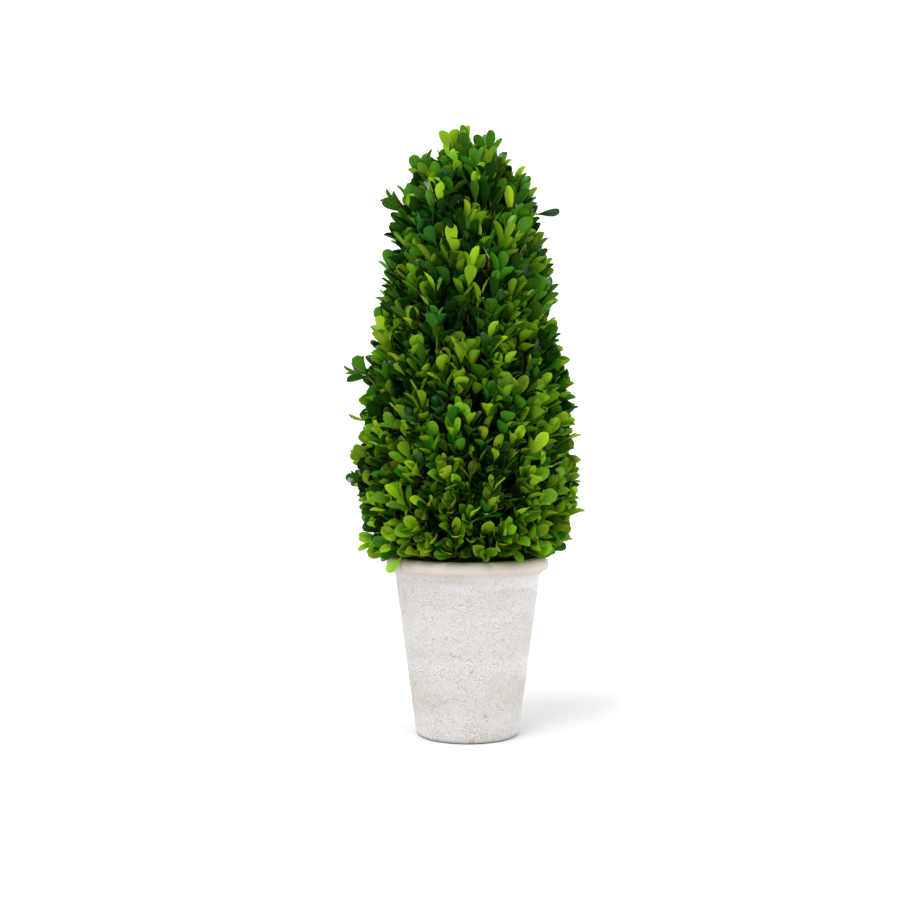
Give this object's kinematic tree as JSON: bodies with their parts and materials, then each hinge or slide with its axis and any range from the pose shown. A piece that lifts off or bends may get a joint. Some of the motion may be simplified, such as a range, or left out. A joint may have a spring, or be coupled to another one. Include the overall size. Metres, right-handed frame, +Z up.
{
  "type": "potted boxwood cone topiary",
  "caption": "Boxwood shrub clipped to a rounded cone, standing in a tapered round clay pot with a rolled rim, for a patio, doorstep or shelf.",
  "frame": {"origin": "middle of the pot's flat underside", "axes": "+Z up along the pot's axis to the tip of the cone; the pictured side faces -Y, with +X to its right"},
  "size_m": [0.206, 0.1924, 0.5198],
  "materials": {
    "clay": "matte",
    "soil": "matte",
    "bark": "matte",
    "leaf": "satin"
  },
  "bodies": {
    "root": {"pot": "clay", "potting_soil": "soil", "main_stem": "bark", "foliage_lower": "leaf", "foliage_upper": "leaf"}
  },
  "joints": []
}
